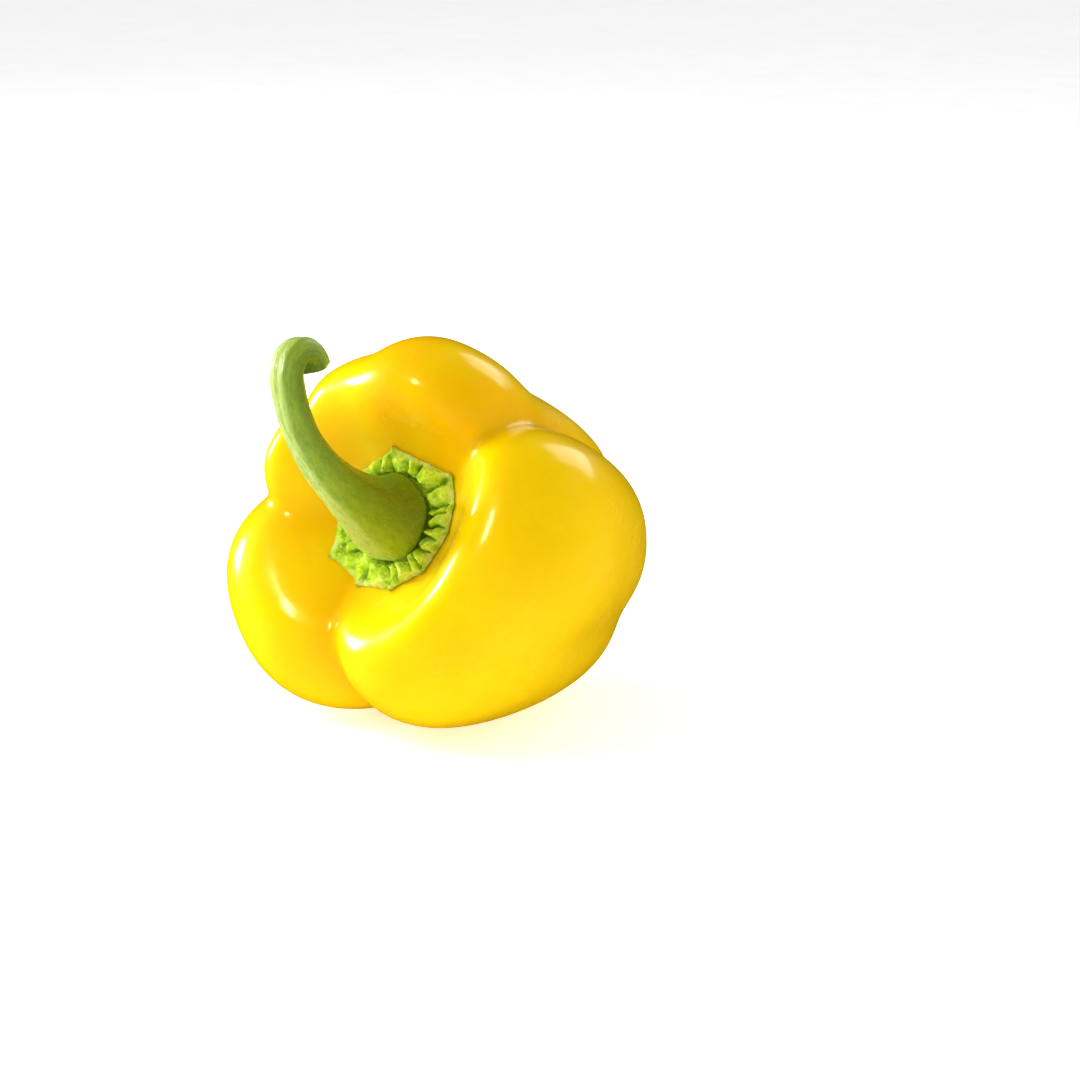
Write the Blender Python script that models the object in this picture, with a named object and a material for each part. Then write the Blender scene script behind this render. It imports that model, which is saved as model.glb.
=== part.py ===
"""A bell pepper lying on its side, in metres with +Z up: the fruit body, the calyx and the stem.

The fruit is shaped upright first, with its stem end towards +Z, and is then laid down so that the stem
end looks along -Y and sits a little higher than the blossom end. The origin is under the middle of the
whole pepper, on the surface it lies on.
"""
import math
from collections import namedtuple

import bmesh
import bpy
import numpy as np
from mathutils import Matrix

MM = 0.001
DEGREE = math.pi / 180.0

# How the fruit lies: the angle by which its stem end rises above level, and the depth of the flat spots
# that its weight presses into the skin.
STEM_END_RISE = 14.5 * DEGREE
FLAT_SPOT_DEPTH = 0.6 * MM
GAP = 0.4 * MM

# Mesh steps of the fruit: columns around the axis, and rows from the stem end to the blossom end.
FRUIT_COLUMNS = 88
FRUIT_ROWS = 58
HEART_HEIGHT = -15 * MM

# A lobe is a rounded, tapered block beside the fruit's axis. angle: where it stands around the axis.
# reach: from the axis to its middle. depth, width and length: half sizes away from the axis, around it
# and along it. middle: height of its middle. lean: how far its top leans out. taper: how much wider
# than its middle it is at the top, and narrower at the bottom.
Lobe = namedtuple("Lobe", "angle reach depth width length middle lean taper")
LOBE_ROUNDING = 2.3

FRONT_LOBES = (
    Lobe(8 * DEGREE, 23 * MM, 22.5 * MM, 22.5 * MM, 42 * MM, -7 * MM, 10 * DEGREE, 0.30),
    Lobe(300 * DEGREE, 20 * MM, 23.5 * MM, 23.5 * MM, 43 * MM, -7.5 * MM, 5 * DEGREE, 0.16),
    Lobe(334 * DEGREE, 18 * MM, 20 * MM, 18 * MM, 32 * MM, -6 * MM, 10 * DEGREE, 0.15),
)
TOP_LOBES = (
    Lobe(74 * DEGREE, 24 * MM, 20 * MM, 17 * MM, 23 * MM, 15 * MM, 8 * DEGREE, 0.10),
    Lobe(70 * DEGREE, 17 * MM, 19 * MM, 17 * MM, 40 * MM, -12 * MM, 7 * DEGREE, 0.12),
    Lobe(116 * DEGREE, 19.5 * MM, 17.5 * MM, 16.5 * MM, 41 * MM, -7 * MM, 10 * DEGREE, 0.22),
)
BACK_LOBES = (Lobe(152 * DEGREE, 20 * MM, 16 * MM, 16.5 * MM, 42 * MM, -8 * MM, 8 * DEGREE, 0.22),)
LOWER_LOBES = (Lobe(218 * DEGREE, 25 * MM, 22.5 * MM, 27 * MM, 42 * MM, -10 * MM, 8 * DEGREE, 0.22),)
# Each group of lobes runs together with this much rounding in its grooves.
LOBE_GROUPS = ((FRONT_LOBES, 3.5 * MM), (TOP_LOBES, 2.6 * MM), (BACK_LOBES, 1 * MM), (LOWER_LOBES, 1 * MM))
GROOVE_ROUNDING = 0.8 * MM

# Rounded blocks along the axis: the fruit's middle, the bowl around the stem, the wide dish on the side
# of the three smaller lobes, the small dish where the largest lobe meets the top ones, and the
# blossom-end dimple.
AxisBlock = namedtuple("AxisBlock", "shift_x shift_y middle radius half_height rounding")
CORE = AxisBlock(0, 0, -14 * MM, 22 * MM, 34 * MM, 3.0)
STEM_BOWL = AxisBlock(2.2 * MM, 2.5 * MM, 40 * MM, 18.5 * MM, 19 * MM, 3.0)
STEM_BOWL_ROUNDING = 5 * MM
SIDE_DISH = AxisBlock(-7 * MM, 2 * MM, 44 * MM, 24 * MM, 17 * MM, 2.0)
SIDE_DISH_ROUNDING = 3.5 * MM
CORNER_DISH = AxisBlock(14 * MM, 14 * MM, 44 * MM, 11 * MM, 18 * MM, 2.0)
CORNER_DISH_ROUNDING = 4.5 * MM
BLOSSOM_DIMPLE = AxisBlock(0, 0, -58 * MM, 9 * MM, 12 * MM, 2.0)
BLOSSOM_DIMPLE_ROUNDING = 3 * MM

# The calyx: a ridged collar around the stem, with straight edges between small pointed teeth. Each tooth
# is an angle in degrees and its distance from the calyx's centre in millimetres.
CALYX_CENTRE = (3 * MM, 3 * MM)
CALYX_TEETH = (
    (19, 15.2), (44, 16.4), (100, 15.6), (139, 14.6), (187, 18.0),
    (214, 19.8), (244, 18.2), (278, 15.8), (315, 14.6), (355, 15.0),
)
TOOTH_REACH = 0.7 * MM
TOOTH_HALF_ANGLE = 4.5
CALYX_RIDGES = 21
CALYX_SEAT_RADIUS = 9.4 * MM
CALYX_KNOB_RADIUS = 10.7 * MM
CALYX_FLOOR_THICKNESS = 1.0 * MM
CALYX_KNOB_HEIGHT = 4.4 * MM
KNOB_WAVE = 0.28
CALYX_EDGE_THICKNESS = 0.8 * MM
CALYX_COLUMNS = 144
CALYX_RINGS = 9
CALYX_RING_SPREAD = 0.85
SEAT_RING_SHARES = (0.35, 0.75, 1.0)
UNDERSIDE_RING_SHARES = (0.985, 0.75, 0.45, 0.2)

# The stem: a tapered stalk that bends in one upright plane and hooks over at its tip.
STEM_PLANE_ANGLE = 93 * DEGREE
STEM_LENGTH = 67 * MM
STEM_BASE_RADIUS = 11.3 * MM
STEM_NECK_RADIUS = 3.45 * MM
STEM_FLARE_LENGTH = 14 * MM
STEM_BASE_ROUND = 3.2 * MM
STEM_FOOT_SHARE = 0.5
STEM_START_LEAN = 17 * DEGREE
STEM_START_LENGTH = 9 * MM
STEM_BEND = 52 * DEGREE
STEM_BEND_POWER = 2.1
STEM_HOOK_START = 52.5 * MM
STEM_HOOK_TURN = 170 * DEGREE
STEM_HOOK_EASING = 0.35
STEM_RIDGES = 5
STEM_RIDGE_HEIGHT = 0.05
STEM_STATIONS = 46
STEM_SIDES = 20
STEM_STATION_SPREAD = 1.15
STEM_END_CHAMFER = 0.5 * MM


def remove_everything():
    for item in list(bpy.data.objects):
        bpy.data.objects.remove(item, do_unlink=True)


def ease(share):
    """A smooth step from 0 to 1."""
    share = np.clip(share, 0, 1)
    return share * share * (3 - 2 * share)


def smooth_union(distances, rounding):
    """The lower envelope of several distances, with rounded grooves where they cross."""
    stack = np.array(distances)
    nearest = stack.min(axis=0)
    return nearest - rounding * np.log(np.exp(-(stack - nearest) / rounding).sum(axis=0))


def smooth_cut(body, cutter, rounding):
    """What is left of a body once the cutter is taken away, with a rounded rim."""
    return -smooth_union([-body, cutter], rounding)


def lobe_distance(points, lobe):
    """About how far points lie outside one lobe; negative inside it."""
    out = points[..., 0] * math.cos(lobe.angle) + points[..., 1] * math.sin(lobe.angle) - lobe.reach
    across = points[..., 1] * math.cos(lobe.angle) - points[..., 0] * math.sin(lobe.angle)
    up = points[..., 2] - lobe.middle
    radial = out * math.cos(lobe.lean) - up * math.sin(lobe.lean)
    axial = out * math.sin(lobe.lean) + up * math.cos(lobe.lean)
    widening = np.clip(1 + lobe.taper * axial / lobe.length, 0.3, 2)
    block = (
        (np.abs(radial) / (lobe.depth * widening)) ** LOBE_ROUNDING
        + (np.abs(across) / (lobe.width * widening)) ** LOBE_ROUNDING
        + (np.abs(axial) / lobe.length) ** LOBE_ROUNDING
    )
    return (block ** (1 / LOBE_ROUNDING) - 1) * min(lobe.depth, lobe.width)


def axis_block_distance(points, block):
    """About how far points lie outside a block that is round about the fruit's axis."""
    radius = np.hypot(points[..., 0] - block.shift_x, points[..., 1] - block.shift_y) / block.radius
    height = np.abs(points[..., 2] - block.middle) / block.half_height
    shape = (radius ** block.rounding + height ** block.rounding) ** (1 / block.rounding)
    return (shape - 1) * min(block.radius, block.half_height)


def fruit_distance(points):
    """About how far points lie outside the fruit's skin; negative inside it."""
    groups = [axis_block_distance(points, CORE)]
    for lobes, rounding in LOBE_GROUPS:
        groups.append(smooth_union([lobe_distance(points, lobe) for lobe in lobes], rounding))
    body = smooth_union(groups, GROOVE_ROUNDING)
    body = smooth_cut(body, axis_block_distance(points, SIDE_DISH), SIDE_DISH_ROUNDING)
    body = smooth_cut(body, axis_block_distance(points, CORNER_DISH), CORNER_DISH_ROUNDING)
    body = smooth_cut(body, axis_block_distance(points, STEM_BOWL), STEM_BOWL_ROUNDING)
    return smooth_cut(body, axis_block_distance(points, BLOSSOM_DIMPLE), BLOSSOM_DIMPLE_ROUNDING)


def first_crossing(starts, directions, longest, step, entering):
    """How far along each ray the skin is met first, going into the fruit or out of it."""
    sign = 1.0 if entering else -1.0
    near = np.zeros(starts.shape[:-1])
    far = np.full(starts.shape[:-1], longest)
    found = np.zeros(starts.shape[:-1], dtype=bool)
    for distance in np.arange(step, longest, step):
        crossed = ~found & (sign * fruit_distance(starts + directions * distance) < 0)
        near[crossed] = distance - step
        far[crossed] = distance
        found |= crossed
    for _ in range(14):
        middle = (near + far) / 2
        beyond = sign * fruit_distance(starts + directions * middle[..., None]) < 0
        far = np.where(beyond, middle, far)
        near = np.where(beyond, near, middle)
    return (near + far) / 2


def fruit_grid(columns, rows):
    """Points on the skin, in columns that run evenly from the stem end to the blossom end."""
    turn = np.arange(columns) * 2 * math.pi / columns
    fall = np.linspace(0.03, math.pi - 0.03, 4 * rows)
    turn_grid, fall_grid = np.meshgrid(turn, fall, indexing="ij")
    directions = np.stack(
        [np.sin(fall_grid) * np.cos(turn_grid), np.sin(fall_grid) * np.sin(turn_grid), np.cos(fall_grid)],
        axis=-1,
    )
    heart = np.zeros_like(directions)
    heart[..., 2] = HEART_HEIGHT
    fine = heart + directions * first_crossing(heart, directions, 80 * MM, 2 * MM, False)[..., None]
    steps = np.linalg.norm(np.diff(fine, axis=1), axis=-1)
    travelled = np.concatenate([np.zeros((columns, 1)), np.cumsum(steps, axis=1)], axis=1)
    travelled /= travelled[:, -1:]
    even = np.linspace(0, 1, rows)
    grid = np.empty((columns, rows, 3))
    for column in range(columns):
        for axis in range(3):
            grid[column, :, axis] = np.interp(even, travelled[column], fine[column, :, axis])
    return grid


def bowl_floor(x, y):
    """Height of the skin inside the stem bowl, straight below each point."""
    ceiling = 48 * MM
    starts = np.stack([x, y, np.full_like(x, ceiling)], axis=-1)
    down = np.zeros_like(starts)
    down[..., 2] = -1
    return ceiling - first_crossing(starts, down, 60 * MM, 0.5 * MM, True)


def ring_mesh(name, rings, first_point, last_point):
    """A closed mesh of rings of equal length, ending in one point at either side."""
    mesh = bmesh.new()
    loops = [[mesh.verts.new(point) for point in ring] for ring in rings]
    count = len(loops[0])
    first = mesh.verts.new(first_point)
    last = mesh.verts.new(last_point)
    for i in range(count):
        following = (i + 1) % count
        mesh.faces.new((first, loops[0][i], loops[0][following]))
        mesh.faces.new((last, loops[-1][following], loops[-1][i]))
        for upper, lower in zip(loops, loops[1:]):
            mesh.faces.new((upper[i], lower[i], lower[following], upper[following]))
    data = bpy.data.meshes.new(name)
    mesh.to_mesh(data)
    mesh.free()
    data.shade_smooth()
    return data


def lay_down():
    """The turn that takes the upright fruit to the way it lies."""
    return Matrix.Rotation(math.pi / 2 - STEM_END_RISE, 4, "X")


def principled(name, colour, roughness):
    material = bpy.data.materials.new(name)
    material.use_nodes = True
    shader = material.node_tree.nodes["Principled BSDF"]
    shader.inputs["Base Color"].default_value = (*colour, 1)
    shader.inputs["Roughness"].default_value = roughness
    shader.inputs["Metallic"].default_value = 0
    return material


def add_piece(name, mesh, material):
    piece = bpy.data.objects.new(name, mesh)
    mesh.materials.append(material)
    bpy.context.scene.collection.objects.link(piece)
    return piece


def fruit_mesh():
    grid = fruit_grid(FRUIT_COLUMNS, FRUIT_ROWS)
    rings = [grid[:, row] for row in range(FRUIT_ROWS)]
    return ring_mesh("fruit_body", rings, rings[0].mean(axis=0), rings[-1].mean(axis=0))


def calyx_radius(turn):
    """Distance from the calyx's centre to its edge: straight edges between pointed teeth."""
    degrees = np.degrees(turn) % 360
    edge = np.zeros_like(turn)
    for (start, near), (end, far) in zip(CALYX_TEETH, CALYX_TEETH[1:] + CALYX_TEETH[:1]):
        span = (end - start) % 360
        along = (degrees - start) % 360
        inside = along <= span
        straight = near * far * math.sin(span * DEGREE) / (
            near * np.sin(along * DEGREE) + far * np.sin((span - along) * DEGREE) + 1e-9
        )
        edge = np.where(inside, straight * MM, edge)
    return edge


def tooth_share(turn):
    """1 at the point of a tooth, falling to 0 beside it."""
    share = np.zeros_like(turn)
    for angle, _ in CALYX_TEETH:
        away = np.abs((np.degrees(turn) - angle + 180) % 360 - 180)
        share = np.maximum(share, np.clip(1 - away / TOOTH_HALF_ANGLE, 0, 1))
    return share


def seat_height():
    """Height of the level seat in the calyx's middle, on which the stalk stands."""
    turn = np.arange(24) * 2 * math.pi / 24
    x = CALYX_CENTRE[0] + CALYX_SEAT_RADIUS * np.cos(turn)
    y = CALYX_CENTRE[1] + CALYX_SEAT_RADIUS * np.sin(turn)
    return bowl_floor(x, y).max() + GAP + CALYX_FLOOR_THICKNESS


def collar_thickness(radius, edge, turn):
    """Thickness of the collar: highest in the knobs around the stalk, thin at the edge, and ridged."""
    fall = np.clip((radius - CALYX_KNOB_RADIUS) / (edge - CALYX_KNOB_RADIUS), 0, 1)
    ridges = 0.5 + 0.5 * np.cos(CALYX_RIDGES * turn)
    knob = CALYX_KNOB_HEIGHT * (1 - KNOB_WAVE + KNOB_WAVE * ridges)
    return knob + (CALYX_EDGE_THICKNESS - knob) * fall


def calyx_rings():
    """The calyx's rings: its upper side from the middle out, then its lower side back to the middle."""
    turn = np.arange(CALYX_COLUMNS) * 2 * math.pi / CALYX_COLUMNS
    edge = calyx_radius(turn) + TOOTH_REACH * tooth_share(turn)
    seat = seat_height()
    knob_rise = CALYX_KNOB_RADIUS - CALYX_SEAT_RADIUS
    upper = [np.full_like(turn, CALYX_SEAT_RADIUS * share) for share in SEAT_RING_SHARES]
    for step in range(1, CALYX_RINGS + 1):
        share = (step / CALYX_RINGS) ** CALYX_RING_SPREAD
        upper.append(CALYX_SEAT_RADIUS + (edge - CALYX_SEAT_RADIUS) * share)
    lower = [edge * share for share in UNDERSIDE_RING_SHARES]
    rings = []
    for i, radius in enumerate(upper + lower):
        x = CALYX_CENTRE[0] + radius * np.cos(turn)
        y = CALYX_CENTRE[1] + radius * np.sin(turn)
        z = bowl_floor(x, y) + GAP
        if i < len(upper):
            collar = z + collar_thickness(radius, edge, turn)
            z = seat + (collar - seat) * ease((radius - CALYX_SEAT_RADIUS) / knob_rise)
        rings.append(np.stack([x, y, z], axis=-1))
    return rings


def calyx_mesh():
    rings = calyx_rings()
    return ring_mesh("calyx", rings, rings[0].mean(axis=0), rings[-1].mean(axis=0))


def stem_lean(travelled):
    """Angle between the stalk and the fruit's axis, at a distance along the stalk."""
    start = STEM_START_LEAN * ease(travelled / STEM_START_LENGTH)
    bend = STEM_BEND * np.minimum(travelled / STEM_HOOK_START, 1) ** STEM_BEND_POWER
    share = np.clip((travelled - STEM_HOOK_START) / (STEM_LENGTH - STEM_HOOK_START), 0, 1)
    hook = STEM_HOOK_TURN * (STEM_HOOK_EASING * ease(share) + (1 - STEM_HOOK_EASING) * share)
    return start + bend + hook


def stem_path(stations):
    """Distances along the stalk, its centre line and its leans."""
    fine = np.linspace(0, STEM_LENGTH, 600)
    lean = stem_lean(fine)
    step = fine[1] - fine[0]
    out = np.concatenate([[0], np.cumsum(np.sin((lean[1:] + lean[:-1]) / 2)) * step])
    up = np.concatenate([[0], np.cumsum(np.cos((lean[1:] + lean[:-1]) / 2)) * step])
    return np.interp(stations, fine, out), np.interp(stations, fine, up), stem_lean(stations)


def stem_radius(travelled):
    """The stalk's radius: a rounded foot, a trumpet above it and a slim neck."""
    flare = (STEM_BASE_RADIUS - STEM_NECK_RADIUS) * np.exp(-travelled / STEM_FLARE_LENGTH)
    foot = 1 - np.clip(travelled / STEM_BASE_ROUND, 0, 1)
    return (STEM_NECK_RADIUS + flare) * np.sqrt(1 - (1 - STEM_FOOT_SHARE ** 2) * foot ** 2)


def stem_rings():
    base_height = seat_height() + GAP
    stations = STEM_LENGTH * np.linspace(0, 1, STEM_STATIONS) ** STEM_STATION_SPREAD
    out, up, lean = stem_path(stations)
    radii = stem_radius(stations)
    radii[-1] -= STEM_END_CHAMFER
    turn = np.arange(STEM_SIDES) * 2 * math.pi / STEM_SIDES
    rings = []
    for i in range(STEM_STATIONS):
        radius = radii[i] * (1 + STEM_RIDGE_HEIGHT * np.cos(STEM_RIDGES * turn))
        forward = out[i] + radius * np.cos(turn) * math.cos(lean[i])
        height = up[i] - radius * np.cos(turn) * math.sin(lean[i])
        side = radius * np.sin(turn)
        x = CALYX_CENTRE[0] + forward * math.cos(STEM_PLANE_ANGLE) - side * math.sin(STEM_PLANE_ANGLE)
        y = CALYX_CENTRE[1] + forward * math.sin(STEM_PLANE_ANGLE) + side * math.cos(STEM_PLANE_ANGLE)
        rings.append(np.stack([x, y, base_height + height], axis=-1))
    return rings


def stem_mesh():
    rings = stem_rings()[::-1]
    return ring_mesh("stem", rings, rings[0].mean(axis=0), rings[-1].mean(axis=0))


def press_flat(mesh):
    """Presses flat spots where the skin would dip below the surface that it lies on."""
    for vertex in mesh.vertices:
        vertex.co.z = max(vertex.co.z, 0)


def build():
    remove_everything()
    fruit = add_piece("fruit_body", fruit_mesh(), principled("skin", (0.90, 0.60, 0.002), 0.16))
    calyx = add_piece("calyx", calyx_mesh(), principled("calyx", (0.20, 0.34, 0.02), 0.40))
    stem = add_piece("stem", stem_mesh(), principled("stem", (0.12, 0.22, 0.02), 0.38))
    pieces = (fruit, calyx, stem)
    for piece in pieces:
        piece.data.transform(lay_down())
    corners = np.array([vertex.co for piece in pieces for vertex in piece.data.vertices])
    middle = (corners.min(axis=0) + corners.max(axis=0)) / 2
    lowest = corners[:, 2].min() + FLAT_SPOT_DEPTH
    for piece in pieces:
        piece.data.transform(Matrix.Translation((-middle[0], -middle[1], -lowest)))
    press_flat(fruit.data)


build()
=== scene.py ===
import math
from collections import namedtuple

import bpy
import numpy as np
from mathutils import Matrix, Vector, noise


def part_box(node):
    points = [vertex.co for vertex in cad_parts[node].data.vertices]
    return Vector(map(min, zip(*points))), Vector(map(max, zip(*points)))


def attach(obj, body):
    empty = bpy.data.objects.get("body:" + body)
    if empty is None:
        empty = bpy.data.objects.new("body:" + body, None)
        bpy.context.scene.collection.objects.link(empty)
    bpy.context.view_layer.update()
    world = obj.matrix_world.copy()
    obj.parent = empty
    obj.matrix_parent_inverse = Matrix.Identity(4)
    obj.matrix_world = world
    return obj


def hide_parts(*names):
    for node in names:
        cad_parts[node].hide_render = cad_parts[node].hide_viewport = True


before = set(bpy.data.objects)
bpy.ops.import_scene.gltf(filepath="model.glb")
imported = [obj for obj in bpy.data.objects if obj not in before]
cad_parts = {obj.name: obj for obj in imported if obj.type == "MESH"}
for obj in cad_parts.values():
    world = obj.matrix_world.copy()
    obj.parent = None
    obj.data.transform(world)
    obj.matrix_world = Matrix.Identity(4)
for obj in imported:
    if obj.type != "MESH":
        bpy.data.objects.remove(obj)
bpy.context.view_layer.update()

MM = 0.001
DEGREE = math.pi / 180.0

# How the fruit lies: the rise of its stem end, and the depth of the flat spots under its weight.
STEM_END_RISE = 14.5 * DEGREE
FLAT_SPOT_DEPTH = 0.6 * MM
GAP = 0.4 * MM

# Mesh steps of the fruit: columns around the axis, and rows from the stem end to the blossom end.
FRUIT_COLUMNS = 330
FRUIT_ROWS = 280
HEART_HEIGHT = -15 * MM
SKIN_SWELL = 0.16 * MM
SKIN_SWELL_SIZE = 16 * MM

# Finding the skin: the angle left open at either end, the nearest and farthest a ray can meet it, the
# step along a ray, the halvings after that, and the probe and rounds that settle a point on it.
POLE_ANGLE = 0.03
SKIN_NEAREST = 18 * MM
SKIN_FARTHEST = 80 * MM
SKIN_STEP = 2 * MM
RAY_HALVINGS = 11
SETTLING_PROBE = 0.01 * MM
SETTLING_ROUNDS = 3

# Looking down into the stem bowl: where the rays start, how far they go, and their step.
BOWL_CEILING = 48 * MM
BOWL_DEPTH = 60 * MM
BOWL_STEP = 0.5 * MM

# A lobe is a rounded, tapered block beside the fruit's axis. angle: where it stands around the axis.
# reach: from the axis to its middle. depth, width and length: half sizes away from the axis, around it
# and along it. middle: height of its middle. lean: how far its top leans out. taper: how much wider
# than its middle it is at the top, and narrower at the bottom.
Lobe = namedtuple("Lobe", "angle reach depth width length middle lean taper")
LOBE_ROUNDING = 2.3
FRONT_LOBES = (
    Lobe(8 * DEGREE, 23 * MM, 22.5 * MM, 22.5 * MM, 42 * MM, -7 * MM, 10 * DEGREE, 0.30),
    Lobe(300 * DEGREE, 20 * MM, 23.5 * MM, 23.5 * MM, 43 * MM, -7.5 * MM, 5 * DEGREE, 0.16),
    Lobe(334 * DEGREE, 18 * MM, 20 * MM, 18 * MM, 32 * MM, -6 * MM, 10 * DEGREE, 0.15),
)
TOP_LOBES = (
    Lobe(74 * DEGREE, 24 * MM, 20 * MM, 17 * MM, 23 * MM, 15 * MM, 8 * DEGREE, 0.10),
    Lobe(70 * DEGREE, 17 * MM, 19 * MM, 17 * MM, 40 * MM, -12 * MM, 7 * DEGREE, 0.12),
    Lobe(116 * DEGREE, 19.5 * MM, 17.5 * MM, 16.5 * MM, 41 * MM, -7 * MM, 10 * DEGREE, 0.22),
)
BACK_LOBES = (Lobe(152 * DEGREE, 20 * MM, 16 * MM, 16.5 * MM, 42 * MM, -8 * MM, 8 * DEGREE, 0.22),)
LOWER_LOBES = (Lobe(218 * DEGREE, 25 * MM, 22.5 * MM, 27 * MM, 42 * MM, -10 * MM, 8 * DEGREE, 0.22),)
FRONT_LOBE_ROUNDING = 3.5 * MM
# Each group of lobes runs together with this much rounding in its grooves.
LOBE_GROUPS = (
    (FRONT_LOBES, FRONT_LOBE_ROUNDING), (TOP_LOBES, 2.6 * MM), (BACK_LOBES, 1 * MM), (LOWER_LOBES, 1 * MM),
)
GROOVE_ROUNDING = 0.8 * MM
# How far from the bottom of a groove the skin gets painted shade, a darker amber that is partly its own
# deeper tint.
GROOVE_SHADE_WIDTH = 5.5 * MM

# Rounded blocks along the axis: the fruit's middle, the bowl around the stem, the wide dish on the side
# of the three smaller lobes, the small dish where the largest lobe meets the top ones, and the
# blossom-end dimple.
AxisBlock = namedtuple("AxisBlock", "shift_x shift_y middle radius half_height rounding")
CORE = AxisBlock(0, 0, -14 * MM, 22 * MM, 34 * MM, 3.0)
STEM_BOWL = AxisBlock(2.2 * MM, 2.5 * MM, 40 * MM, 18.5 * MM, 19 * MM, 3.0)
STEM_BOWL_ROUNDING = 5 * MM
SIDE_DISH = AxisBlock(-7 * MM, 2 * MM, 44 * MM, 24 * MM, 17 * MM, 2.0)
SIDE_DISH_ROUNDING = 3.5 * MM
CORNER_DISH = AxisBlock(14 * MM, 14 * MM, 44 * MM, 11 * MM, 18 * MM, 2.0)
CORNER_DISH_ROUNDING = 4.5 * MM
BLOSSOM_DIMPLE = AxisBlock(0, 0, -58 * MM, 9 * MM, 12 * MM, 2.0)
BLOSSOM_DIMPLE_ROUNDING = 3 * MM

# The calyx: a collar of lumpy knobs around the stem, with straight edges between small pointed teeth.
# Each tooth is an angle in degrees and its distance from the calyx's centre in millimetres.
CALYX_CENTRE = (3 * MM, 3 * MM)
CALYX_TEETH = (
    (19, 15.2), (44, 16.4), (100, 15.6), (139, 14.6), (187, 18.0),
    (214, 19.8), (244, 18.2), (278, 15.8), (315, 14.6), (355, 15.0),
)
TOOTH_REACH = 0.5 * MM
TOOTH_HALF_ANGLE = 4
CALYX_SEAT_RADIUS = 9.4 * MM
CALYX_FLOOR_THICKNESS = 1.0 * MM
CALYX_EDGE_THICKNESS = 0.8 * MM
EDGE_GAP = 0.05 * MM
EDGE_WAVE = 0.25 * MM
CALYX_KNOBS = 20
CALYX_KNOB_HEIGHT = 4.6 * MM
# The knobs, each drawn at random: where it starts and how long it is in millimetres, how far it curves
# aside, its least share of the full height, and how round it is across.
KNOB_START = (10.2, 11.0)
KNOB_LENGTH = (3.2, 7.0)
KNOB_CURVE = 0.12
KNOB_LEAST_HEIGHT = 0.66
KNOB_ROUNDNESS = 0.72
CALYX_COLUMNS = 540
CALYX_RINGS = 64
CALYX_SEED = 11

# The stem: a tapered stalk that bends in one upright plane and hooks over at its tip.
STEM_PLANE_ANGLE = 93 * DEGREE
STEM_LENGTH = 67 * MM
STEM_BASE_RADIUS = 11.3 * MM
STEM_NECK_RADIUS = 3.45 * MM
STEM_FLARE_LENGTH = 14 * MM
STEM_BASE_ROUND = 3.2 * MM
STEM_START_LEAN = 17 * DEGREE
STEM_START_LENGTH = 9 * MM
STEM_BEND = 52 * DEGREE
STEM_BEND_POWER = 2.1
STEM_HOOK_START = 52.5 * MM
STEM_HOOK_TURN = 170 * DEGREE
# How much of the hook's turn eases in and out. The rest is even, so that the stalk doesn't bend into itself.
STEM_HOOK_EASING = 0.35
STEM_RIDGES = 5
STEM_RIDGE_HEIGHT = 0.05
STEM_LIP_HEIGHT = 0.12 * MM
STEM_LIP_WIDTH = 2.2 * MM
# The cut face, from its rim to its middle: the share of the radius, and how deep it lies in millimetres.
STEM_CUT_RINGS = ((0.93, -0.05), (0.85, 0.05), (0.72, 0.35), (0.55, 0.5), (0.35, 0.45), (0.15, 0.5))
STEM_STATIONS = 420
STEM_SIDES = 200
# The lit side, which the material paints with a pale waxy sheen and the far side with shade, as an angle
# around the stalk from its bending side.
LIT_SIDE = 150 * DEGREE

# The camera's view: angles around the object, distance, lens, and the point it looks at from the middle
# of the object's base.
CAMERA_AZIMUTH = 35.5
CAMERA_ELEVATION = 15
CAMERA_DISTANCE = 0.65
CAMERA_LENS = 97.5
CAMERA_AIM = Vector((0.02824, 0.00005, 0.0461))
CAMERA_SENSOR = 36
CAMERA_NEAR = 0.01

# The studio. Each softbox: its azimuth and elevation around the object, distance, size, power in watts,
# whether the skin mirrors it, and whether it lights the object too.
FLOOR_HALF = 6.0
WORLD_STRENGTH = 0.49
LIGHT_AIM = Vector((0, 0, 0.045))
Softbox = namedtuple("Softbox", "name azimuth elevation distance size power mirrored lit")
SOFTBOXES = (
    Softbox("right_fill", 132, 22, 1.0, (0.6, 0.6), 3.2, False, True),
    Softbox("front_softbox", -12, 28, 0.95, (0.10, 0.22), 3.4, True, False),
    Softbox("left_softbox", -80, 8, 0.95, (0.19, 0.23), 7.0, True, True),
    Softbox("back_softbox", 178, 28, 0.95, (0.42, 0.5), 1.5, True, True),
    Softbox("left_fill", -72, 24, 1.0, (0.6, 0.6), 4.9, False, True),
    Softbox("upper_fill", -35, 45, 1.0, (0.5, 0.5), 4.6, False, True),
)


def ease(share):
    """A smooth step from 0 to 1."""
    share = np.clip(share, 0, 1)
    return share * share * (3 - 2 * share)


def smooth_union(distances, rounding):
    """The lower envelope of several distances, with rounded grooves where they cross."""
    stack = np.array(distances)
    nearest = stack.min(axis=0)
    return nearest - rounding * np.log(np.exp(-(stack - nearest) / rounding).sum(axis=0))


def smooth_cut(body, cutter, rounding):
    """What is left of a body once the cutter is taken away, with a rounded rim."""
    return -smooth_union([-body, cutter], rounding)


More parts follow.
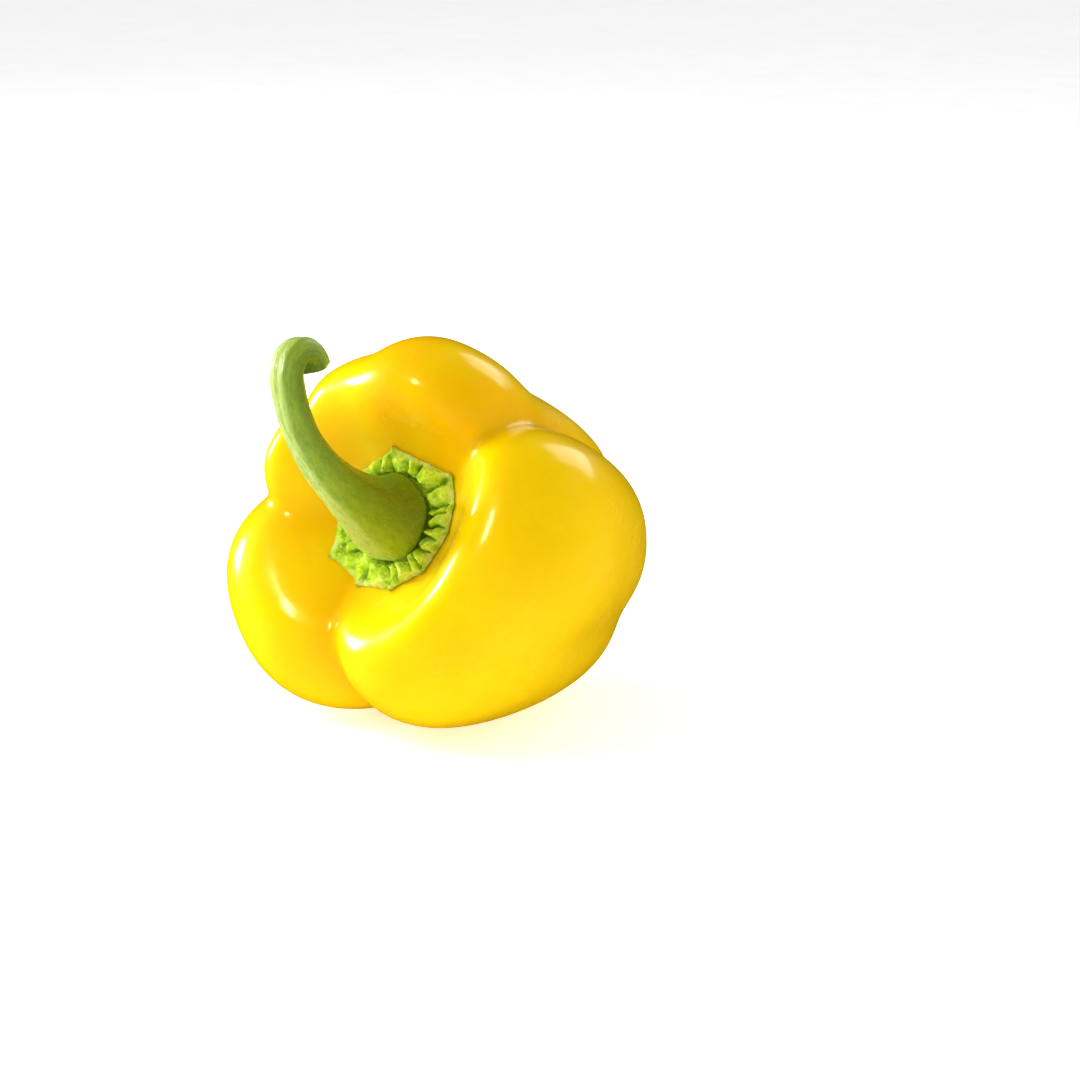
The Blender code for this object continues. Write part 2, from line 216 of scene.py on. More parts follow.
def lobe_distance(points, lobe):
    """About how far points lie outside one lobe; negative inside it."""
    out = points[..., 0] * math.cos(lobe.angle) + points[..., 1] * math.sin(lobe.angle) - lobe.reach
    across = points[..., 1] * math.cos(lobe.angle) - points[..., 0] * math.sin(lobe.angle)
    up = points[..., 2] - lobe.middle
    radial = out * math.cos(lobe.lean) - up * math.sin(lobe.lean)
    axial = out * math.sin(lobe.lean) + up * math.cos(lobe.lean)
    widening = np.clip(1 + lobe.taper * axial / lobe.length, 0.3, 2)
    block = (
        (np.abs(radial) / (lobe.depth * widening)) ** LOBE_ROUNDING
        + (np.abs(across) / (lobe.width * widening)) ** LOBE_ROUNDING
        + (np.abs(axial) / lobe.length) ** LOBE_ROUNDING
    )
    return (block ** (1 / LOBE_ROUNDING) - 1) * min(lobe.depth, lobe.width)


def axis_block_distance(points, block):
    """About how far points lie outside a block that is round about the fruit's axis."""
    radius = np.hypot(points[..., 0] - block.shift_x, points[..., 1] - block.shift_y) / block.radius
    height = np.abs(points[..., 2] - block.middle) / block.half_height
    shape = (radius ** block.rounding + height ** block.rounding) ** (1 / block.rounding)
    return (shape - 1) * min(block.radius, block.half_height)


def group_distances(points):
    """Distances from the fruit's core and from each group of lobes."""
    groups = [axis_block_distance(points, CORE)]
    for lobes, rounding in LOBE_GROUPS:
        groups.append(smooth_union([lobe_distance(points, lobe) for lobe in lobes], rounding))
    return groups


def fruit_distance(points):
    """About how far points lie outside the fruit's skin; negative inside it."""
    body = smooth_union(group_distances(points), GROOVE_ROUNDING)
    body = smooth_cut(body, axis_block_distance(points, SIDE_DISH), SIDE_DISH_ROUNDING)
    body = smooth_cut(body, axis_block_distance(points, CORNER_DISH), CORNER_DISH_ROUNDING)
    body = smooth_cut(body, axis_block_distance(points, STEM_BOWL), STEM_BOWL_ROUNDING)
    return smooth_cut(body, axis_block_distance(points, BLOSSOM_DIMPLE), BLOSSOM_DIMPLE_ROUNDING)


def first_crossing(starts, directions, nearest, longest, step, entering):
    """How far along each ray the skin is met first, going into the fruit or out of it."""
    sign = 1.0 if entering else -1.0
    near = np.full(starts.shape[:-1], nearest)
    far = np.full(starts.shape[:-1], longest)
    waiting = np.ones(starts.shape[:-1], dtype=bool)
    for distance in np.arange(nearest + step, longest, step):
        crossed = np.zeros_like(waiting)
        crossed[waiting] = sign * fruit_distance(starts[waiting] + directions[waiting] * distance) < 0
        near[crossed] = distance - step
        far[crossed] = distance
        waiting &= ~crossed
        if not waiting.any():
            break
    for _ in range(RAY_HALVINGS):
        middle = (near + far) / 2
        beyond = sign * fruit_distance(starts + directions * middle[..., None]) < 0
        far = np.where(beyond, middle, far)
        near = np.where(beyond, near, middle)
    return (near + far) / 2


def fruit_grid(columns, rows):
    """Points on the skin, in columns that run evenly from the stem end to the blossom end."""
    turn = np.arange(columns) * 2 * math.pi / columns
    fall = np.linspace(POLE_ANGLE, math.pi - POLE_ANGLE, 2 * rows)
    turn_grid, fall_grid = np.meshgrid(turn, fall, indexing="ij")
    directions = np.stack(
        [np.sin(fall_grid) * np.cos(turn_grid), np.sin(fall_grid) * np.sin(turn_grid), np.cos(fall_grid)],
        axis=-1,
    )
    heart = np.zeros_like(directions)
    heart[..., 2] = HEART_HEIGHT
    distances = first_crossing(heart, directions, SKIN_NEAREST, SKIN_FARTHEST, SKIN_STEP, False)
    fine = heart + directions * distances[..., None]
    steps = np.linalg.norm(np.diff(fine, axis=1), axis=-1)
    travelled = np.concatenate([np.zeros((columns, 1)), np.cumsum(steps, axis=1)], axis=1)
    travelled /= travelled[:, -1:]
    even = np.linspace(0, 1, rows)
    grid = np.empty((columns, rows, 3))
    for column in range(columns):
        for axis in range(3):
            grid[column, :, axis] = np.interp(even, travelled[column], fine[column, :, axis])
    return grid


def settle(grid, heart):
    """Moves points along their lines from the fruit's heart until they lie exactly on the skin."""
    reach = np.linalg.norm(grid - heart, axis=-1)
    outward = (grid - heart) / reach[..., None]
    for _ in range(SETTLING_ROUNDS):
        here = fruit_distance(heart + outward * reach[..., None])
        beyond = fruit_distance(heart + outward * (reach + SETTLING_PROBE)[..., None])
        reach = reach - here / (beyond - here) * SETTLING_PROBE
    return heart + outward * reach[..., None]


def bowl_floor(x, y):
    """Height of the skin inside the stem bowl, straight below each point."""
    starts = np.stack([x, y, np.full_like(x, BOWL_CEILING)], axis=-1)
    down = np.zeros_like(starts)
    down[..., 2] = -1
    return BOWL_CEILING - first_crossing(starts, down, 0.0, BOWL_DEPTH, BOWL_STEP, True)


def noise_at(points, size, seed):
    """Smooth noise between about -1 and 1 at each point, with lumps of the given size."""
    offset = Vector((seed * 7.31, seed * 3.77, seed * 5.13))
    flat = points.reshape(-1, 3) / size
    values = [noise.noise(Vector(point) + offset) for point in flat]
    return np.array(values).reshape(points.shape[:-1])


def ring_mesh(name, rings, first_point, last_point):
    """A closed mesh of rings of equal length, ending in one point at either side."""
    count = len(rings[0])
    points = np.concatenate([np.concatenate(rings), [first_point, last_point]])
    first = len(points) - 2
    last = len(points) - 1
    faces = []
    for i in range(count):
        following = (i + 1) % count
        end = (len(rings) - 1) * count
        faces.append((first, i, following))
        faces.append((last, end + following, end + i))
    for ring in range(len(rings) - 1):
        upper = ring * count
        lower = upper + count
        for i in range(count):
            following = (i + 1) % count
            faces.append((upper + i, lower + i, lower + following, upper + following))
    mesh = bpy.data.meshes.new(name)
    mesh.from_pydata(points.tolist(), [], faces)
    mesh.shade_smooth()
    return mesh


def paint(mesh, name, values):
    """Stores one number for each vertex, for the material to read."""
    layer = mesh.attributes.new(name, "FLOAT", "POINT")
    layer.data.foreach_set("value", np.asarray(values, dtype=np.float32))


def paint_vector(mesh, name, values):
    """Stores one vector for each vertex, for the material to read."""
    layer = mesh.attributes.new(name, "FLOAT_VECTOR", "POINT")
    layer.data.foreach_set("vector", np.asarray(values, dtype=np.float32).ravel())


def fruit_mesh():
    """The skin, with gentle swells in it, marked for how deep in a groove each point lies, for the painted
    groove shade.
    """
    grid = fruit_grid(FRUIT_COLUMNS, FRUIT_ROWS)
    heart = np.array((0, 0, HEART_HEIGHT))
    grid = settle(grid, heart)
    swell = noise_at(grid, SKIN_SWELL_SIZE, 1)
    outward = grid - heart
    outward /= np.linalg.norm(outward, axis=-1, keepdims=True)
    grid = grid + outward * (SKIN_SWELL * (swell - 1))[..., None]
    rings = [grid[:, row] for row in range(FRUIT_ROWS)]
    ends = (rings[0].mean(axis=0), rings[-1].mean(axis=0))
    mesh = ring_mesh("pepper_skin", rings, *ends)
    points = np.concatenate([np.concatenate(rings), ends])
    # How deep in a groove each point lies: the material paints shade there as a darker amber.
    ridges = [smooth_union([lobe_distance(points, lobe) for lobe in FRONT_LOBES], FRONT_LOBE_ROUNDING)]
    ridges += [lobe_distance(points, lobe) for lobe in TOP_LOBES[1:] + BACK_LOBES + LOWER_LOBES]
    ordered = np.sort(np.array(ridges), axis=0)
    paint(mesh, "groove_shade", np.exp(-(ordered[1] - ordered[0]) / GROOVE_SHADE_WIDTH))
    return mesh


def calyx_radius(turn):
    """Distance from the calyx's centre to its edge: straight edges between pointed teeth."""
    degrees = np.degrees(turn) % 360
    edge = np.zeros_like(turn)
    for (start, near), (end, far) in zip(CALYX_TEETH, CALYX_TEETH[1:] + CALYX_TEETH[:1]):
        span = (end - start) % 360
        along = (degrees - start) % 360
        inside = along <= span
        straight = near * far * math.sin(span * DEGREE) / (
            near * np.sin(along * DEGREE) + far * np.sin((span - along) * DEGREE) + 1e-9
        )
        edge = np.where(inside, straight * MM, edge)
    return edge


def tooth_share(turn):
    """1 at the point of a tooth, falling to 0 beside it."""
    share = np.zeros_like(turn)
    for angle, _ in CALYX_TEETH:
        away = np.abs((np.degrees(turn) - angle + 180) % 360 - 180)
        share = np.maximum(share, np.clip(1 - away / TOOTH_HALF_ANGLE, 0, 1))
    return share


def seat_height():
    """Height of the level seat in the calyx's middle, on which the stalk stands."""
    turn = np.arange(24) * 2 * math.pi / 24
    x = CALYX_CENTRE[0] + CALYX_SEAT_RADIUS * np.cos(turn)
    y = CALYX_CENTRE[1] + CALYX_SEAT_RADIUS * np.sin(turn)
    return bowl_floor(x, y).max() + GAP + CALYX_FLOOR_THICKNESS


def knob_relief(radius, turn):
    """Height of the knobs around the stalk and of the ridges that run from them to the edge."""
    random = np.random.RandomState(CALYX_SEED)
    widths = random.uniform(0.5, 1.5, CALYX_KNOBS)
    ends = np.cumsum(widths) / widths.sum() * 2 * math.pi
    relief = np.zeros_like(radius)
    for i in range(CALYX_KNOBS):
        half = widths[i] / widths.sum() * math.pi
        middle = ends[i] - half
        start = random.uniform(*KNOB_START) * MM
        length = random.uniform(*KNOB_LENGTH) * MM
        height = CALYX_KNOB_HEIGHT * random.uniform(KNOB_LEAST_HEIGHT, 1.0)
        curve = random.uniform(-KNOB_CURVE, KNOB_CURVE)
        aside = (turn + curve * (radius / start - 1) - middle + math.pi) % (2 * math.pi) - math.pi
        across = np.abs(aside) / (half * 1.06)
        rise = np.clip((radius - start + 1.2 * MM) / (1.8 * MM), 0, 1)
        fall = np.clip((radius - start) / length, 0, 1)
        along = np.sqrt(1 - (1 - rise) ** 2) * (1 - 0.80 * fall ** 1.2)
        ridge = height * along * np.clip(1 - across ** 2, 0, 1) ** KNOB_ROUNDNESS
        relief = np.maximum(relief, ridge)
    return relief


def calyx_rings():
    """The calyx's rings: its upper side from the middle out, then its lower side back to the middle."""
    turn = np.arange(CALYX_COLUMNS) * 2 * math.pi / CALYX_COLUMNS
    round_turn = np.stack([np.cos(turn), np.sin(turn), np.zeros_like(turn)], axis=-1)
    edge = calyx_radius(turn) + TOOTH_REACH * tooth_share(turn) ** 1.3
    edge = edge + EDGE_WAVE * noise_at(round_turn, 0.09, 9)
    seat = seat_height()
    inner = np.linspace(0.3, 0.97, 6)
    outer = np.linspace(0, 1, CALYX_RINGS) ** 0.92
    radii = [np.full_like(turn, CALYX_SEAT_RADIUS * share) for share in inner]
    radii += [CALYX_SEAT_RADIUS + (edge - CALYX_SEAT_RADIUS) * share for share in outer]
    radii += [edge * share for share in (0.995, 0.98, 0.9, 0.75, 0.5, 0.3)]
    upper = len(inner) + len(outer)
    radius = np.array(radii)
    turns = np.broadcast_to(turn, radius.shape)
    x = CALYX_CENTRE[0] + radius * np.cos(turns)
    y = CALYX_CENTRE[1] + radius * np.sin(turns)
    share = np.clip((radius - CALYX_SEAT_RADIUS) / (edge - CALYX_SEAT_RADIUS), 0, 1)
    floor = bowl_floor(x, y) + GAP - (GAP - EDGE_GAP) * ease((share - 0.4) / 0.5)
    flat = np.stack([x, y, np.zeros_like(x)], axis=-1)
    wander = 0.11 * noise_at(flat, 4 * MM, 10) + 0.05 * noise_at(flat, 1.8 * MM, 12)
    lumps = 0.75 * noise_at(flat, 2.1 * MM, 2) + 0.42 * noise_at(flat, 1.0 * MM, 3)
    lumps = lumps + 0.14 * noise_at(flat, 0.5 * MM, 13)
    relief = knob_relief(radius, turns + wander)
    rim = 1 - ease((share - 0.80) / 0.2)
    body = CALYX_EDGE_THICKNESS + relief * (0.15 + 0.85 * rim)
    body = body + lumps * MM * ease(share / 0.2) * (0.35 + 0.65 * rim)
    body *= 1 - 0.6 * ease((share - 0.90) / 0.10)
    curl = 0.35 * MM * tooth_share(turns) * ease((share - 0.8) / 0.2)
    z = np.maximum(floor + body + curl, floor + 0.3 * MM)
    z = seat + (z - seat) * ease((radius - CALYX_SEAT_RADIUS) / (0.9 * MM))
    z[upper:] = floor[upper:] + curl[upper:] * 0.6
    rings = [np.stack([x[i], y[i], z[i]], axis=-1) for i in range(len(radii))]
    marks = {
        "crest": np.maximum(
            np.clip(relief / CALYX_KNOB_HEIGHT + lumps * 0.4, 0, 1),
            0.7 * ease((share - 0.8) / 0.2),
        ),
        "margin": ease((share - 0.72) / 0.28),
        "tip": tooth_share(turns) * ease((share - 0.8) / 0.2),
    }
    return rings, marks


def calyx_mesh():
    """The calyx, with the marks that its material reads."""
    rings, marks = calyx_rings()
    mesh = ring_mesh("pepper_calyx", rings, rings[0].mean(axis=0), rings[-1].mean(axis=0))
    for name, values in marks.items():
        paint(mesh, name, np.concatenate([values.ravel(), [values[0].mean(), values[-1].mean()]]))
    return mesh


def stem_lean(travelled):
    """Angle between the stalk and the fruit's axis, at a distance along the stalk."""
    start = STEM_START_LEAN * ease(travelled / STEM_START_LENGTH)
    bend = STEM_BEND * np.minimum(travelled / STEM_HOOK_START, 1) ** STEM_BEND_POWER
    share = np.clip((travelled - STEM_HOOK_START) / (STEM_LENGTH - STEM_HOOK_START), 0, 1)
    hook = STEM_HOOK_TURN * (STEM_HOOK_EASING * ease(share) + (1 - STEM_HOOK_EASING) * share)
    return start + bend + hook


def stem_path(stations):
    """Distances along the stalk, its centre line and its leans."""
    fine = np.linspace(0, STEM_LENGTH, 600)
    lean = stem_lean(fine)
    step = fine[1] - fine[0]
    out = np.concatenate([[0], np.cumsum(np.sin((lean[1:] + lean[:-1]) / 2)) * step])
    up = np.concatenate([[0], np.cumsum(np.cos((lean[1:] + lean[:-1]) / 2)) * step])
    return np.interp(stations, fine, out), np.interp(stations, fine, up), stem_lean(stations)


def stem_radius(travelled):
    """The stalk's radius: a rounded foot, a trumpet above it and a slim neck."""
    flare = (STEM_BASE_RADIUS - STEM_NECK_RADIUS) * np.exp(-travelled / STEM_FLARE_LENGTH)
    foot = np.clip(travelled / STEM_BASE_ROUND, 0, 1)
    return (STEM_NECK_RADIUS + flare) * np.sqrt(0.25 + 0.75 * (1 - (1 - foot) ** 2))


def stem_surface(turn, travelled):
    """The stalk's radius all over its surface, with ridges, striations and dents."""
    radius = stem_radius(travelled)
    straight = np.stack(
        [radius * np.cos(turn), radius * np.sin(turn), travelled / 5], axis=-1
    )
    neck = ease(travelled / (22 * MM))
    tip = ease((travelled - 45 * MM) / (20 * MM))
    dents = 0.22 * noise_at(straight, 2.6 * MM, 4) + 0.10 * noise_at(straight, 1.1 * MM, 5)
    grain = 0.035 * noise_at(straight * (1, 1, 2), 0.45 * MM, 6)
    thinning = 0.17 * neck
    relief = (dents * (0.35 + 0.65 * neck + 0.3 * tip) + grain * (0.3 + 0.7 * neck) - thinning) * MM
    ridges = 1 + STEM_RIDGE_HEIGHT * np.cos(STEM_RIDGES * turn) * (0.45 + 0.55 * neck)
    lip = STEM_LIP_HEIGHT * np.exp(-((travelled - STEM_LENGTH) / STEM_LIP_WIDTH) ** 2)
    return radius * ridges + relief + lip, straight


def stem_mesh():
    """The stalk with its cut tip, marked for its lit side (where the material paints sheen and shade), its
    cut face and how far along it each point is.
    """
    base_height = seat_height() + GAP
    stations = STEM_LENGTH * np.linspace(0, 1, STEM_STATIONS) ** 1.15
    turn = np.arange(STEM_SIDES) * 2 * math.pi / STEM_SIDES
    travelled, turns = np.meshgrid(stations, turn, indexing="ij")
    radius, straight = stem_surface(turns, travelled)
    out, up, lean = (values[:, None] for values in stem_path(stations))

    def place(radius, inset):
        forward = out + radius * np.cos(turns) * np.cos(lean) - inset * np.sin(lean)
        height = up - radius * np.cos(turns) * np.sin(lean) - inset * np.cos(lean)
        side = radius * np.sin(turns)
        x = CALYX_CENTRE[0] + forward * math.cos(STEM_PLANE_ANGLE) - side * math.sin(STEM_PLANE_ANGLE)
        y = CALYX_CENTRE[1] + forward * math.sin(STEM_PLANE_ANGLE) + side * math.cos(STEM_PLANE_ANGLE)
        return np.stack([x, y, base_height + height], axis=-1)

    wall = place(radius, 0)
    rings = [wall[i] for i in range(STEM_STATIONS)]
    spots = [straight[i] for i in range(STEM_STATIONS)]
    cut = [np.zeros(STEM_SIDES)] * STEM_STATIONS
    cut[-1] = np.full(STEM_SIDES, 0.6)
    for share, inset in STEM_CUT_RINGS:
        rough = 0.12 * noise_at(straight[-1:] * (share, share, 1), 0.9 * MM, 8) * MM
        rings.append(place(radius[-1:] * share, inset * MM + rough)[-1])
        spots.append(straight[-1] * share)
        cut.append(np.full(STEM_SIDES, 1.0))
    rings = rings[::-1]
    spots = spots[::-1]
    cut = cut[::-1]
    mesh = ring_mesh("pepper_stem", rings, rings[0].mean(axis=0), rings[-1].mean(axis=0))
    spots = np.concatenate([np.concatenate(spots), [spots[0].mean(axis=0), spots[-1].mean(axis=0)]])
    paint_vector(mesh, "stalk", spots / MM)
    around = np.arctan2(spots[:, 1], spots[:, 0])
    # How much each point faces the lit side, for the painted sheen and painted shade.
    paint(mesh, "lit_side", 0.5 + 0.5 * np.cos(around - LIT_SIDE))
    paint(mesh, "cut", np.concatenate([np.concatenate(cut), [1.0, 0.0]]))
    paint(mesh, "along", spots[:, 2] * 5 / STEM_LENGTH)
    return mesh


def add_node(tree, kind, inputs=None, **settings):
    node = tree.nodes.new(kind)
    for name, value in settings.items():
        setattr(node, name, value)
    for name, value in (inputs or {}).items():
        connect(tree, value, node.inputs[name])
    return node


def connect(tree, value, socket):
    """Feeds a socket from another socket, a number or a colour."""
    if isinstance(value, bpy.types.NodeSocket):
        tree.links.new(value, socket)
    elif isinstance(value, tuple) and len(value) == 3 and socket.type == "RGBA":
        socket.default_value = (*value, 1)
    else:
        socket.default_value = value


def attribute(tree, name, output="Fac"):
    return add_node(tree, "ShaderNodeAttribute", attribute_name=name).outputs[output]


def place_on_object(tree):
    return add_node(tree, "ShaderNodeTexCoord").outputs["Object"]


def stretched(tree, vector, scale):
    return add_node(tree, "ShaderNodeMapping", {"Vector": vector, "Scale": scale}).outputs["Vector"]


def noise_value(tree, vector, scale, detail=3.0, roughness=0.55, distortion=0.0):
    settings = {
        "Vector": vector, "Scale": scale, "Detail": detail, "Roughness": roughness, "Distortion": distortion,
    }
    return add_node(tree, "ShaderNodeTexNoise", settings).outputs["Fac"]


def between(tree, value, low, high, out_low=0.0, out_high=1.0):
    """Maps a value from one span onto another, smoothly and without leaving it."""
    inputs = {"Value": value, "From Min": low, "From Max": high, "To Min": out_low, "To Max": out_high}
    node = add_node(tree, "ShaderNodeMapRange", inputs, interpolation_type="SMOOTHSTEP")
    return node.outputs["Result"]


def calculate(tree, operation, first, second):
    node = add_node(tree, "ShaderNodeMath", operation=operation)
    connect(tree, first, node.inputs[0])
    connect(tree, second, node.inputs[1])
    return node.outputs[0]


def blend_colours(tree, share, first, second):
    node = add_node(tree, "ShaderNodeMix", data_type="RGBA")
    connect(tree, share, node.inputs[0])
    connect(tree, first, node.inputs[6])
    connect(tree, second, node.inputs[7])
    return node.outputs[2]


def bump(tree, height, distance, strength=1.0, normal=None):
    inputs = {"Height": height, "Distance": distance, "Strength": strength}
    if normal is not None:
        inputs["Normal"] = normal
    return add_node(tree, "ShaderNodeBump", inputs).outputs["Normal"]


def new_material(name, settings):
    material = bpy.data.materials.new(name)
    material.use_nodes = True
    shader = material.node_tree.nodes["Principled BSDF"]
    for socket, value in settings.items():
        connect(material.node_tree, value, shader.inputs[socket])
    return material, material.node_tree, shader


def skin_material():
    """Smooth waxy skin: lemon, with painted shade as a darker amber in the grooves (partly the skin's own
    deeper tint there), faint mottling and fine pores.
    """
    material, tree, shader = new_material("pepper_skin", {
        "IOR": 1.38,
        "Specular Tint": (0.9, 1.0, 0.3),
        "Coat Weight": 0.2,
        "Coat Roughness": 0.10,
        "Coat IOR": 1.5,
        "Subsurface Weight": 0.18,
        "Subsurface Radius": (1.0, 0.45, 0.05),
        "Subsurface Scale": 0.0035,
    })
    where = place_on_object(tree)
    broad = noise_value(tree, where, 28, 2.0)
    mottle = noise_value(tree, where, 260, 4.0, 0.6)
    colour = blend_colours(tree, between(tree, broad, 0.3, 0.7), (0.97, 0.60, 0.0), (0.955, 0.655, 0.0))
    colour = blend_colours(tree, between(tree, mottle, 0.3, 0.75, 0.0, 0.35), colour, (0.93, 0.545, 0.0))
    # Painted shade: the grooves get a darker amber, partly the skin's own deeper tint there.
    groove_shade = between(tree, attribute(tree, "groove_shade"), 0.1, 0.9, 0.0, 0.85)
    colour = blend_colours(tree, groove_shade, colour, (0.90, 0.47, 0.0))
    pores = noise_value(tree, where, 900, 1.0)
    colour = blend_colours(tree, between(tree, pores, 0.62, 0.80, 0.0, 0.06), colour, (0.99, 0.78, 0.02))
    connect(tree, colour, shader.inputs["Base Color"])
    rough = between(tree, noise_value(tree, where, 90, 3.0), 0.3, 0.7, 0.20, 0.28)
    connect(tree, rough, shader.inputs["Roughness"])
    waves = bump(tree, noise_value(tree, where, 130, 2.0), 0.00013)
    connect(tree, bump(tree, pores, 0.0000025, 1.0, waves), shader.inputs["Normal"])
    return material


def calyx_material():
    """Fresh green knobs with painted shade in the creases between them, pale patches on the margin, painted
    glints on the knob tops and dull tooth tips.
    """
    material, tree, shader = new_material("pepper_calyx", {
        "IOR": 1.45,
        "Coat Weight": 0.45,
        "Coat Roughness": 0.08,
        "Subsurface Weight": 0.25,
        "Subsurface Radius": (0.6, 1.0, 0.1),
        "Subsurface Scale": 0.0012,
    })
    where = place_on_object(tree)
    patches = noise_value(tree, where, 320, 3.0)
    colour = blend_colours(tree, between(tree, patches, 0.35, 0.65), (0.50, 0.77, 0.005), (0.72, 0.95, 0.02))
    crest = attribute(tree, "crest")
    margin = attribute(tree, "margin")
    # Painted shade: the low ground between the knobs gets a dark green, fading out on the margin.
    low_ground = between(tree, crest, 0.02, 0.36, 0.7, 0.0)
    crease_shade = calculate(tree, "MULTIPLY", low_ground, between(tree, margin, 0.0, 0.6, 1.0, 0.0))
    colour = blend_colours(tree, crease_shade, colour, (0.17, 0.34, 0.002))
    # Painted glints: pale specks on the knob tops; the same noise also gives them a fine bump.
    glint_and_bump_flecks = noise_value(tree, where, 1300, 3.0, 0.7)
    glint_share = between(tree, glint_and_bump_flecks, 0.54, 0.66)
    glint_share = calculate(tree, "MULTIPLY", glint_share, between(tree, crest, 0.05, 0.5))
    glint_share = calculate(tree, "MULTIPLY", glint_share, 0.75)
    colour = blend_colours(tree, glint_share, colour, (0.84, 0.95, 0.34))
    pale = calculate(tree, "MULTIPLY", margin, between(tree, patches, 0.40, 0.62))
    colour = blend_colours(tree, calculate(tree, "MULTIPLY", pale, 0.8), colour, (0.74, 0.95, 0.30))
    tip = between(tree, attribute(tree, "tip"), 0.35, 0.85, 0.0, 0.8)
    colour = blend_colours(tree, tip, colour, (0.28, 0.38, 0.03))
    connect(tree, colour, shader.inputs["Base Color"])
    rough = between(tree, noise_value(tree, where, 700, 2.0), 0.35, 0.7, 0.22, 0.45)
    connect(tree, rough, shader.inputs["Roughness"])
    lumps = bump(tree, noise_value(tree, where, 800, 4.0, 0.65), 0.0011, 0.9)
    connect(tree, bump(tree, glint_and_bump_flecks, 0.00012, 1.0, lumps), shader.inputs["Normal"])
    return material


def stem_material():
    """A tough green stalk: olive at its foot, a painted sheen of pale waxy streaks on its lit side and
    painted shade on the other, with streaks and fine speckles.
    """
    material, tree, shader = new_material("pepper_stem", {
        "IOR": 1.45,
        "Coat Weight": 0.5,
        "Coat Roughness": 0.22,
        "Sheen Weight": 0.03,
        "Sheen Roughness": 0.4,
        "Sheen Tint": (0.9, 1.0, 0.6),
        "Subsurface Weight": 0.06,
        "Subsurface Radius": (0.6, 1.0, 0.1),
        "Subsurface Scale": 0.001,
    })
    where = attribute(tree, "stalk", "Vector")
    long_grain = stretched(tree, where, (1.0, 1.0, 1.6))
    streaks = noise_value(tree, long_grain, 0.85, 4.0, 0.62, 0.4)
    speckles = noise_value(tree, place_on_object(tree), 2600, 2.0, 0.6)
    along = attribute(tree, "along")
    upper = between(tree, along, 0.15, 0.6)
    body = blend_colours(tree, upper, (0.27, 0.41, 0.0), (0.32, 0.48, 0.03))
    dark = blend_colours(tree, upper, (0.20, 0.28, 0.0), (0.17, 0.30, 0.010))
    colour = blend_colours(tree, between(tree, streaks, 0.34, 0.60, 0.55, 0.0), body, dark)
    lit_side = attribute(tree, "lit_side")
    # Painted shade: the side away from the light gets a dark olive.
    colour = blend_colours(tree, between(tree, lit_side, 0.10, 0.72, 0.85, 0.0), colour, (0.13, 0.215, 0.0))
    # Painted sheen on the lit side: pale streaks, partly a waxy bloom, stronger up the stalk.
    lit_sheen = between(tree, lit_side, 0.70, 0.97)
    lit_sheen = calculate(tree, "MULTIPLY", lit_sheen, between(tree, streaks, 0.20, 0.60, 0.3, 1.0))
    lit_sheen = calculate(tree, "MULTIPLY", lit_sheen, between(tree, along, 0.05, 0.5, 0.35, 0.8))
    colour = blend_colours(tree, lit_sheen, colour, (0.68, 0.85, 0.24))
    dots = between(tree, speckles, 0.62, 0.72, 0.0, 0.35)
    colour = blend_colours(tree, dots, colour, (0.10, 0.15, 0.01))
    cut = attribute(tree, "cut")
    flesh = blend_colours(tree, between(tree, speckles, 0.35, 0.65), (0.50, 0.44, 0.04), (0.36, 0.24, 0.03))
    colour = blend_colours(tree, between(tree, cut, 0.3, 0.9), colour, flesh)
    connect(tree, colour, shader.inputs["Base Color"])
    rough = between(tree, noise_value(tree, where, 1.6, 3.0), 0.35, 0.7, 0.26, 0.42)
    connect(tree, rough, shader.inputs["Roughness"])
    grain = bump(tree, noise_value(tree, long_grain, 2.0, 5.0, 0.65), 0.0006, 0.9)
    connect(tree, bump(tree, speckles, 0.00005, 0.8, grain), shader.inputs["Normal"])
    return material


def floor_material():
    """A pale matt floor that glows a little, so that it stays as light as the backdrop."""
    material, tree, shader = new_material("pale_floor", {
        "Specular IOR Level": 0.2,
        "Emission Color": (1.0, 1.0, 1.0),
        "Emission Strength": 0.50,
    })
    where = place_on_object(tree)
    tone = between(tree, noise_value(tree, where, 6, 2.0), 0.3, 0.7, 0.0, 1.0)
    colour = blend_colours(tree, tone, (0.90, 0.90, 0.895), (0.92, 0.92, 0.92))
    connect(tree, colour, shader.inputs["Base Color"])
    rough = between(tree, noise_value(tree, where, 40, 2.0), 0.3, 0.7, 0.55, 0.65)
    connect(tree, rough, shader.inputs["Roughness"])
    return material


def add_piece(mesh, material, node):
    """Puts one visible piece in the scene, in place of the CAD node it shows."""
    piece = bpy.data.objects.new(mesh.name, mesh)
    mesh.materials.append(material)
    bpy.context.scene.collection.objects.link(piece)
    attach(piece, "root")
    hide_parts(node)
    return piece


def build_pepper():
    """Shapes the three pieces upright, lays them down and sets them where the CAD nodes lie."""
    meshes = (fruit_mesh(), calyx_mesh(), stem_mesh())
    for mesh in meshes:
        mesh.transform(Matrix.Rotation(math.pi / 2 - STEM_END_RISE, 4, "X"))
    fruit = np.array([vertex.co for vertex in meshes[0].vertices])
    lowest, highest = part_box("fruit_body")
    cad_middle = (lowest + highest) / 2
    shift = Vector((
        cad_middle.x - (fruit[:, 0].min() + fruit[:, 0].max()) / 2,
        cad_middle.y - (fruit[:, 1].min() + fruit[:, 1].max()) / 2,
        lowest.z - FLAT_SPOT_DEPTH - fruit[:, 2].min(),
    ))
    for mesh in meshes:
        mesh.transform(Matrix.Translation(shift))
    for vertex in meshes[0].vertices:
        vertex.co.z = max(vertex.co.z, 0)
    add_piece(meshes[0], skin_material(), "fruit_body")
    add_piece(meshes[1], calyx_material(), "calyx")
    add_piece(meshes[2], stem_material(), "stem")


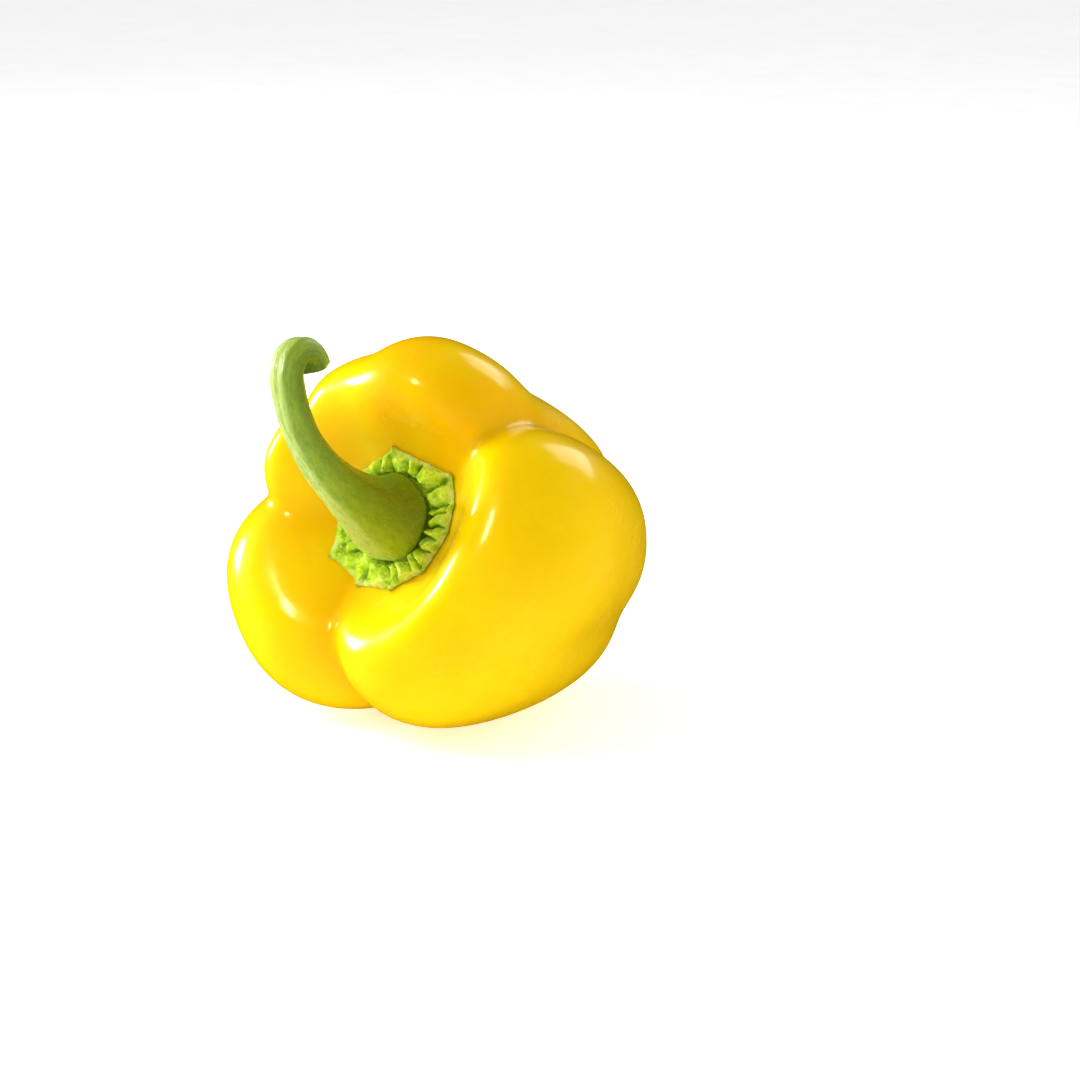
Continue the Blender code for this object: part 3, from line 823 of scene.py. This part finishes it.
def add_floor():
    mesh = bpy.data.meshes.new("floor")
    corners = [(x * FLOOR_HALF, y * FLOOR_HALF, 0) for x, y in ((-1, -1), (1, -1), (1, 1), (-1, 1))]
    mesh.from_pydata(corners, [], [(0, 1, 2, 3)])
    mesh.materials.append(floor_material())
    floor = bpy.data.objects.new("floor", mesh)
    bpy.context.scene.collection.objects.link(floor)
    floor.visible_glossy = False


def direction(azimuth, elevation):
    """Unit vector towards an azimuth, measured from -Y towards +X, and an elevation, both in degrees."""
    level = math.cos(elevation * DEGREE)
    return Vector((
        level * math.sin(azimuth * DEGREE), -level * math.cos(azimuth * DEGREE), math.sin(elevation * DEGREE),
    ))


def add_softbox(softbox):
    light = bpy.data.lights.new(softbox.name, "AREA")
    light.shape = "RECTANGLE"
    light.size, light.size_y = softbox.size
    light.energy = softbox.power
    lamp = bpy.data.objects.new(softbox.name, light)
    lamp.visible_glossy = softbox.mirrored
    lamp.visible_diffuse = softbox.lit
    away = direction(softbox.azimuth, softbox.elevation)
    lamp.location = LIGHT_AIM + away * softbox.distance
    lamp.rotation_euler = away.to_track_quat("Z", "Y").to_euler()
    bpy.context.scene.collection.objects.link(lamp)


def add_lighting():
    world = bpy.data.worlds.new("studio")
    world.use_nodes = True
    background = world.node_tree.nodes["Background"]
    background.inputs["Color"].default_value = (1, 1, 1, 1)
    background.inputs["Strength"].default_value = WORLD_STRENGTH
    bpy.context.scene.world = world
    world.cycles_visibility.glossy = False
    for softbox in SOFTBOXES:
        add_softbox(softbox)
    bpy.context.scene.view_settings.view_transform = "Standard"


def add_camera():
    lens = bpy.data.cameras.new("camera")
    lens.lens = CAMERA_LENS
    lens.sensor_width = CAMERA_SENSOR
    lens.clip_start = CAMERA_NEAR
    camera = bpy.data.objects.new("camera", lens)
    away = direction(CAMERA_AZIMUTH, CAMERA_ELEVATION)
    camera.location = CAMERA_AIM + away * CAMERA_DISTANCE
    camera.rotation_euler = away.to_track_quat("Z", "Y").to_euler()
    bpy.context.scene.collection.objects.link(camera)
    bpy.context.scene.camera = camera


build_pepper()
add_floor()
add_lighting()
add_camera()
